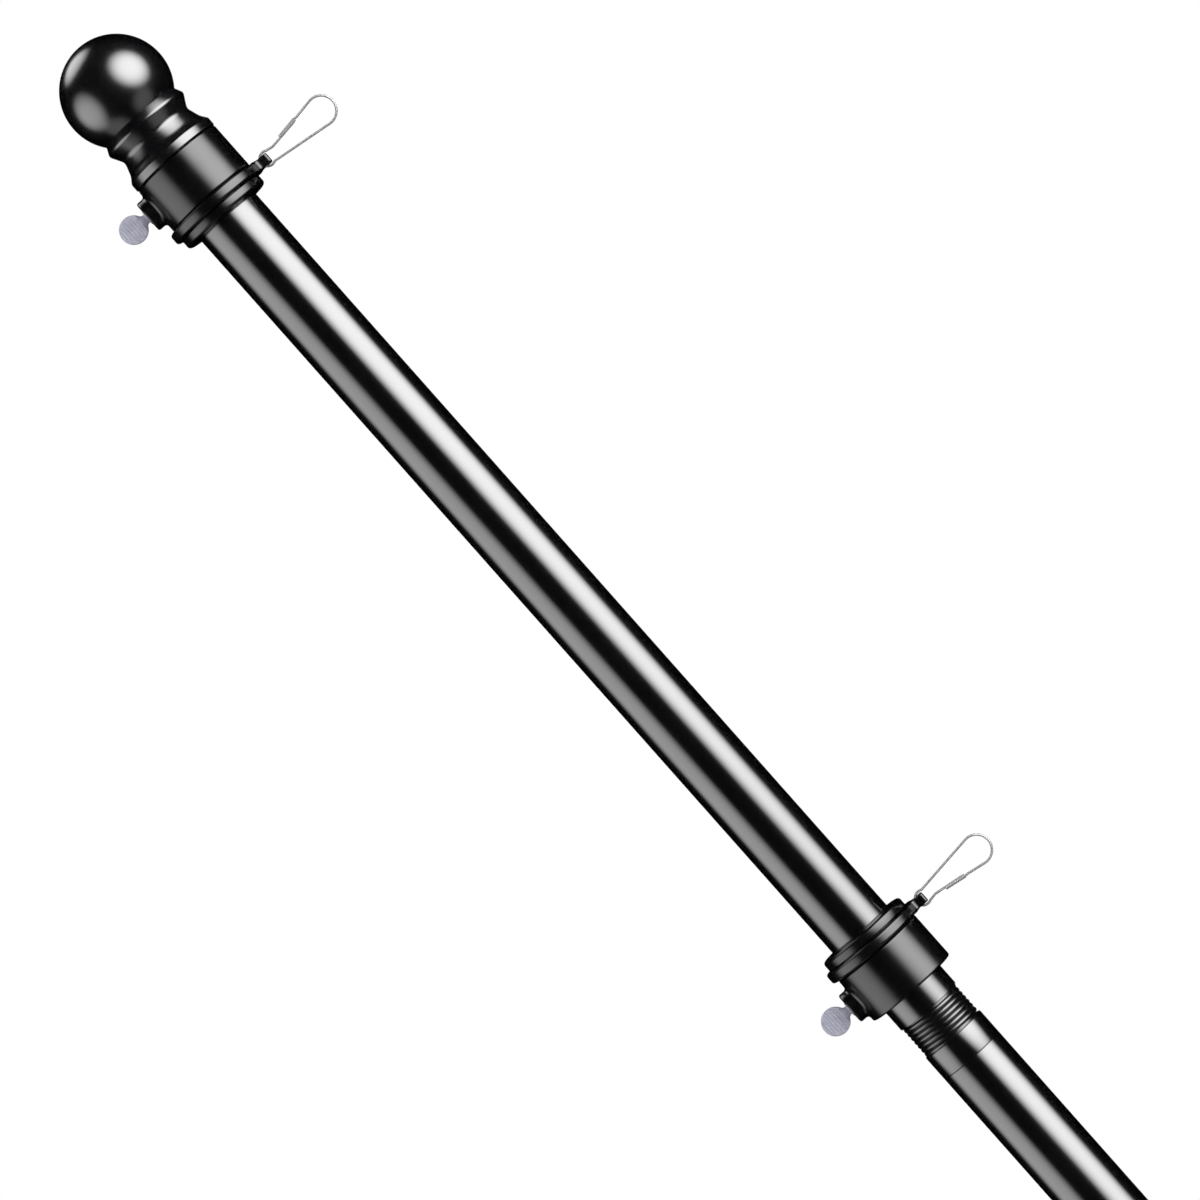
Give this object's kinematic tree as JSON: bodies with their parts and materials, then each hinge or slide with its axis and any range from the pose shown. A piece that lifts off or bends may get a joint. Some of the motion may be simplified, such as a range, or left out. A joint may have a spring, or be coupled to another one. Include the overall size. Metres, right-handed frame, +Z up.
{
  "type": "wall-mounted flagpole",
  "caption": "Wall-mounted flagpole: a slanted sectional tube with a ball finial, turning flag rings with snap clips, held in a cast three-position wall bracket.",
  "frame": {"origin": "centre of the wall plate's back face, on the wall", "axes": "+Z up, +Y into the wall, so the pole rises towards -Y; X = 0 is the plane that holds the socket axes, and the wing screws are on the +X side"},
  "size_m": [0.0597, 1.2531, 1.2804],
  "materials": {
    "bracket_coat": "satin",
    "wall_screw_zinc": "polished",
    "wing_screw_zinc": "polished",
    "pole_coat": "gloss",
    "thread_coat": "satin",
    "finial_gloss": "gloss",
    "plug_plastic": "matte",
    "spring_wire": "polished",
    "paddle_nylon": "satin",
    "ring_plastic": "gloss"
  },
  "bodies": {
    "mast": {"bracket_casting": "bracket_coat", "wall_screw_top_left": "wall_screw_zinc", "wall_screw_top_right": "wall_screw_zinc", "wall_screw_low_left": "wall_screw_zinc", "wall_screw_low_right": "wall_screw_zinc", "foot_plug": "plug_plastic", "tube_1": "pole_coat", "tube_2": "pole_coat", "tube_3": "pole_coat", "tube_4": "pole_coat", "collar_1": "pole_coat", "collar_2": "pole_coat", "collar_3": "pole_coat", "thread_1": "thread_coat", "thread_2": "thread_coat", "thread_3": "thread_coat", "finial": "finial_gloss"},
    "upper_ring": {"upper_sleeve": "ring_plastic", "upper_cap": "ring_plastic"},
    "upper_turning_ring": {"upper_swivel": "ring_plastic"},
    "upper_snap_clip": {"upper_clip": "spring_wire"},
    "upper_paddle_screw": {"upper_thumb_screw": "paddle_nylon"},
    "lower_ring": {"lower_sleeve": "ring_plastic", "lower_cap": "ring_plastic"},
    "lower_turning_ring": {"lower_swivel": "ring_plastic"},
    "lower_snap_clip": {"lower_clip": "spring_wire"},
    "lower_paddle_screw": {"lower_thumb_screw": "paddle_nylon"},
    "slanted_wing_screw": {"wing_screw_slanted": "wing_screw_zinc"},
    "level_wing_screw": {"wing_screw_level": "wing_screw_zinc"},
    "upright_wing_screw": {"wing_screw_upright": "wing_screw_zinc"}
  },
  "joints": [
    {"name": "upper_ring_slide", "type": "slide", "parent": "mast", "child": "upper_ring", "axis": [0, -0.7071, 0.7071], "range_m": [-0.15, 0]},
    {"name": "upper_ring_turn", "type": "hinge", "parent": "upper_ring", "child": "upper_turning_ring", "pos_m": [0, -1.19566, 1.17496], "axis": [0, -0.7071, 0.7071], "continuous": true},
    {"name": "upper_clip_swing", "type": "hinge", "parent": "upper_turning_ring", "child": "upper_snap_clip", "pos_m": [0, -1.17873, 1.1919], "axis": [-1, 0, 0], "range_deg": [-90, 90]},
    {"name": "upper_thumb_screw_turn", "type": "hinge", "parent": "upper_ring", "child": "upper_paddle_screw", "pos_m": [0, -1.21847, 1.16949], "axis": [0, -0.7071, -0.7071], "continuous": true},
    {"name": "lower_ring_slide", "type": "slide", "parent": "mast", "child": "lower_ring", "axis": [0, -0.7071, 0.7071], "range_m": [-1.18, 0.1]},
    {"name": "lower_ring_turn", "type": "hinge", "parent": "lower_ring", "child": "lower_turning_ring", "pos_m": [0, -0.95065, 0.92995], "axis": [0, -0.7071, 0.7071], "continuous": true},
    {"name": "lower_clip_swing", "type": "hinge", "parent": "lower_turning_ring", "child": "lower_snap_clip", "pos_m": [0, -0.93371, 0.94688], "axis": [1, 0, 0], "range_deg": [-90, 90]},
    {"name": "lower_thumb_screw_turn", "type": "hinge", "parent": "lower_ring", "child": "lower_paddle_screw", "pos_m": [0, -0.95612, 0.90714], "axis": [0, -0.7071, -0.7071], "continuous": true},
    {"name": "slanted_wing_screw_turn", "type": "hinge", "parent": "mast", "child": "slanted_wing_screw", "pos_m": [0, -0.05651, 0.03581], "axis": [1, 0, 0], "continuous": true},
    {"name": "level_wing_screw_turn", "type": "hinge", "parent": "mast", "child": "level_wing_screw", "pos_m": [0, -0.07725, 0.0038], "axis": [1, 0, 0], "continuous": true},
    {"name": "upright_wing_screw_turn", "type": "hinge", "parent": "mast", "child": "upright_wing_screw", "pos_m": [0, -0.0245, 0.0038], "axis": [1, 0, 0], "continuous": true}
  ]
}
